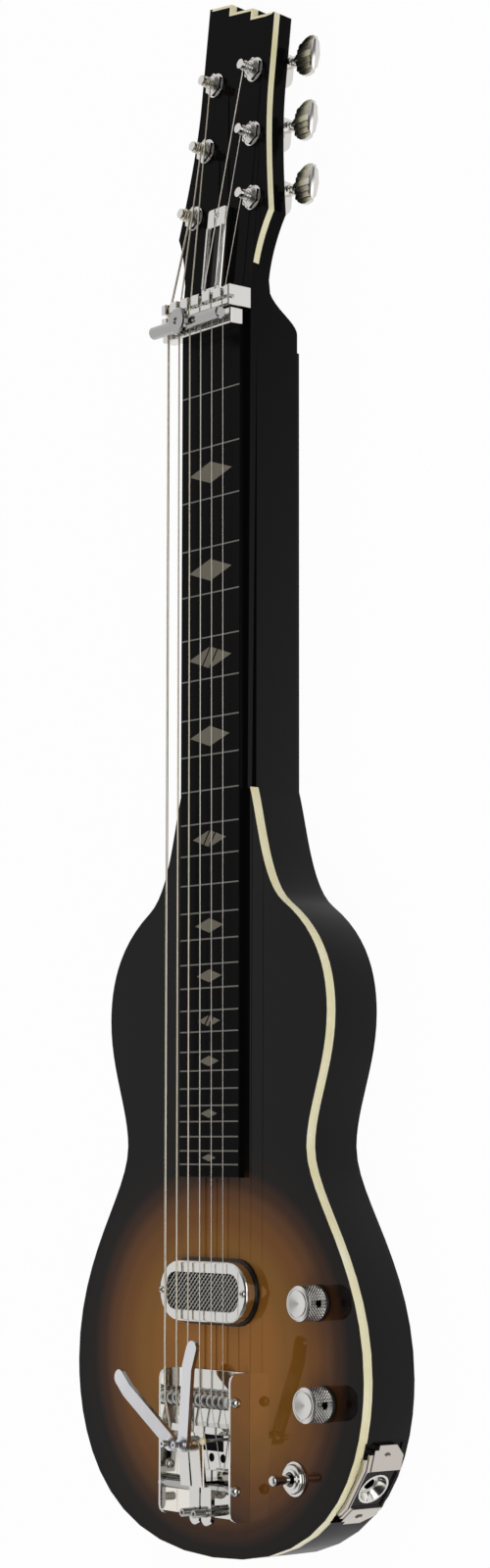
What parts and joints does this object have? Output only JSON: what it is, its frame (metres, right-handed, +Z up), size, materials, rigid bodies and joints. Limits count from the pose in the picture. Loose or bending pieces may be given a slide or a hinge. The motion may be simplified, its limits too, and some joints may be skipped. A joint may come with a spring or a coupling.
{
  "type": "lap steel guitar",
  "caption": "Electric lap steel guitar with a waisted solid body, a palm-lever string bender bridge and a sliding screw capo at the nut",
  "frame": {"origin": "The centre of the bounding box's bottom face; the instrument lies on its back pad, strings up.", "axes": "+Y runs along the neck to the headstock, +X to the treble side with the controls, and +Z up from the back through the top."},
  "size_m": [0.254, 0.897, 0.0775],
  "materials": {
    "lacquered_wood": "gloss sunburst lacquer",
    "ivory_binding": "polished",
    "ebony": "polished",
    "foam_pad": "matt",
    "chrome": "mirror",
    "black_plastic": "satin",
    "wound_string": "wound",
    "plain_string": "drawn",
    "steel": "brushed",
    "brass": "turned"
  },
  "bodies": {
    "guitar_frame": {"body": "lacquered_wood", "body_binding": "ivory_binding", "headstock_binding": "ivory_binding", "fretboard": "ebony", "back_pad": "foam_pad", "control_cover": "black_plastic", "nut": "chrome", "rod_cover": "chrome", "rod_cover_insert": "black_plastic", "bass_tuner_1_housing": "chrome", "bass_tuner_2_housing": "chrome", "bass_tuner_3_housing": "chrome", "treble_tuner_1_housing": "chrome", "treble_tuner_2_housing": "chrome", "treble_tuner_3_housing": "chrome", "string_1": "plain_string", "string_2": "plain_string", "string_3": "plain_string", "string_4": "wound_string", "string_5": "wound_string", "string_6": "wound_string", "pickup_ring": "black_plastic", "pickup_cover": "chrome", "pickup_grille": "steel", "pickup_coil": "black_plastic", "volume_pot": "steel", "tone_pot": "steel", "toggle_switch": "chrome", "jack_plate": "chrome", "jack_socket": "chrome", "bridge_base": "chrome", "saddle_bar": "chrome", "string_anchor": "chrome", "bender_axle": "steel"},
    "capo_lower_jaw": {"capo_jaw": "chrome"},
    "capo_upper_bar": {"capo_bar": "chrome"},
    "capo_screw": {"capo_thumbscrew": "chrome"},
    "volume_control": {"volume_knob": "chrome", "volume_shaft": "brass"},
    "tone_control": {"tone_knob": "chrome", "tone_shaft": "brass"},
    "toggle_lever": {"toggle_bat": "chrome"},
    "left_bender_crank": {"left_crank": "chrome", "left_stop_screw": "steel"},
    "right_bender_crank": {"right_crank": "chrome", "right_stop_screw": "steel"},
    "left_palm_lever": {"left_lever": "chrome"},
    "right_palm_lever": {"right_lever": "chrome"},
    "bass_post_1": {"bass_tuner_1_post": "chrome"},
    "bass_button_1": {"bass_tuner_1_button": "chrome"},
    "bass_post_2": {"bass_tuner_2_post": "chrome"},
    "bass_button_2": {"bass_tuner_2_button": "chrome"},
    "bass_post_3": {"bass_tuner_3_post": "chrome"},
    "bass_button_3": {"bass_tuner_3_button": "chrome"},
    "treble_post_1": {"treble_tuner_1_post": "chrome"},
    "treble_button_1": {"treble_tuner_1_button": "chrome"},
    "treble_post_2": {"treble_tuner_2_post": "chrome"},
    "treble_button_2": {"treble_tuner_2_button": "chrome"},
    "treble_post_3": {"treble_tuner_3_post": "chrome"},
    "treble_button_3": {"treble_tuner_3_button": "chrome"}
  },
  "joints": [
    {"name": "capo_slide", "type": "slide", "parent": "guitar_frame", "child": "capo_lower_jaw", "axis": [0, 1, 0], "range_m": [-0.45, 0]},
    {"name": "capo_bar_lift", "type": "slide", "parent": "capo_lower_jaw", "child": "capo_upper_bar", "axis": [0, 0, 1], "range_m": [0, 0.0016]},
    {"name": "capo_screw_turn", "type": "hinge", "parent": "capo_upper_bar", "child": "capo_screw", "pos_m": [-0.0023, 0.24526, 0.0624], "axis": [0, 0, 1], "range_deg": [-6, 730]},
    {"name": "volume_turn", "type": "hinge", "parent": "guitar_frame", "child": "volume_control", "pos_m": [0.091, -0.30649, 0.0374], "axis": [0, 0, 1], "range_deg": [-150, 150]},
    {"name": "tone_turn", "type": "hinge", "parent": "guitar_frame", "child": "tone_control", "pos_m": [0.096, -0.35949, 0.0374], "axis": [0, 0, 1], "range_deg": [-150, 150]},
    {"name": "toggle_tilt", "type": "hinge", "parent": "guitar_frame", "child": "toggle_lever", "pos_m": [0.071, -0.40049, 0.0359], "axis": [0, 1, 0], "range_deg": [-12, 12]},
    {"name": "bass_button_1_turn", "type": "hinge", "parent": "guitar_frame", "child": "bass_button_1", "pos_m": [-0.0515, 0.3224, 0.01316], "axis": [1, 0, 0], "continuous": true},
    {"name": "bass_post_1_turn", "type": "hinge", "parent": "guitar_frame", "child": "bass_post_1", "pos_m": [-0.0269, 0.317, 0.03167], "axis": [0, 0.1045, 0.9945], "continuous": true},
    {"name": "bass_button_2_turn", "type": "hinge", "parent": "guitar_frame", "child": "bass_button_2", "pos_m": [-0.0459, 0.36238, 0.00895], "axis": [1, 0, 0], "continuous": true},
    {"name": "bass_post_2_turn", "type": "hinge", "parent": "guitar_frame", "child": "bass_post_2", "pos_m": [-0.0213, 0.35699, 0.02747], "axis": [0, 0.1045, 0.9945], "continuous": true},
    {"name": "bass_button_3_turn", "type": "hinge", "parent": "guitar_frame", "child": "bass_button_3", "pos_m": [-0.0428, 0.40237, 0.00475], "axis": [1, 0, 0], "continuous": true},
    {"name": "bass_post_3_turn", "type": "hinge", "parent": "guitar_frame", "child": "bass_post_3", "pos_m": [-0.0182, 0.39697, 0.02327], "axis": [0, 0.1045, 0.9945], "continuous": true},
    {"name": "treble_button_1_turn", "type": "hinge", "parent": "guitar_frame", "child": "treble_button_1", "pos_m": [0.0515, 0.3224, 0.01316], "axis": [1, 0, 0], "continuous": true},
    {"name": "treble_post_1_turn", "type": "hinge", "parent": "guitar_frame", "child": "treble_post_1", "pos_m": [0.0269, 0.317, 0.03167], "axis": [0, 0.1045, 0.9945], "continuous": true},
    {"name": "treble_button_2_turn", "type": "hinge", "parent": "guitar_frame", "child": "treble_button_2", "pos_m": [0.0459, 0.36238, 0.00895], "axis": [1, 0, 0], "continuous": true},
    {"name": "treble_post_2_turn", "type": "hinge", "parent": "guitar_frame", "child": "treble_post_2", "pos_m": [0.0213, 0.35699, 0.02747], "axis": [0, 0.1045, 0.9945], "continuous": true},
    {"name": "treble_button_3_turn", "type": "hinge", "parent": "guitar_frame", "child": "treble_button_3", "pos_m": [0.0428, 0.40237, 0.00475], "axis": [1, 0, 0], "continuous": true},
    {"name": "treble_post_3_turn", "type": "hinge", "parent": "guitar_frame", "child": "treble_post_3", "pos_m": [0.0182, 0.39697, 0.02327], "axis": [0, 0.1045, 0.9945], "continuous": true},
    {"name": "left_crank_press", "type": "hinge", "parent": "guitar_frame", "child": "left_bender_crank", "pos_m": [0.0051, -0.40949, 0.0475], "axis": [1, 0, 0], "range_deg": [-9, 0], "stiffness_Nm_per_rad": 1.5},
    {"name": "left_lever_swivel", "type": "hinge", "parent": "left_bender_crank", "child": "left_palm_lever", "pos_m": [0.0051, -0.38429, 0.0694], "axis": [0, 0, 1], "range_deg": [-30, 30]},
    {"name": "right_crank_press", "type": "hinge", "parent": "guitar_frame", "child": "right_bender_crank", "pos_m": [0.0153, -0.40949, 0.0475], "axis": [1, 0, 0], "range_deg": [-9, 0], "stiffness_Nm_per_rad": 1.5},
    {"name": "right_lever_swivel", "type": "hinge", "parent": "right_bender_crank", "child": "right_palm_lever", "pos_m": [0.0153, -0.38429, 0.0694], "axis": [0, 0, 1], "range_deg": [-30, 15]}
  ],
  "couplings": [
    {"joint": "capo_screw_turn", "follows": "capo_bar_lift", "rad_per_m": 7854},
    {"joint": "bass_post_1_turn", "follows": "bass_button_1_turn", "ratio": -0.066667},
    {"joint": "bass_post_2_turn", "follows": "bass_button_2_turn", "ratio": -0.066667},
    {"joint": "bass_post_3_turn", "follows": "bass_button_3_turn", "ratio": -0.066667},
    {"joint": "treble_post_1_turn", "follows": "treble_button_1_turn", "ratio": 0.066667},
    {"joint": "treble_post_2_turn", "follows": "treble_button_2_turn", "ratio": 0.066667},
    {"joint": "treble_post_3_turn", "follows": "treble_button_3_turn", "ratio": 0.066667}
  ]
}
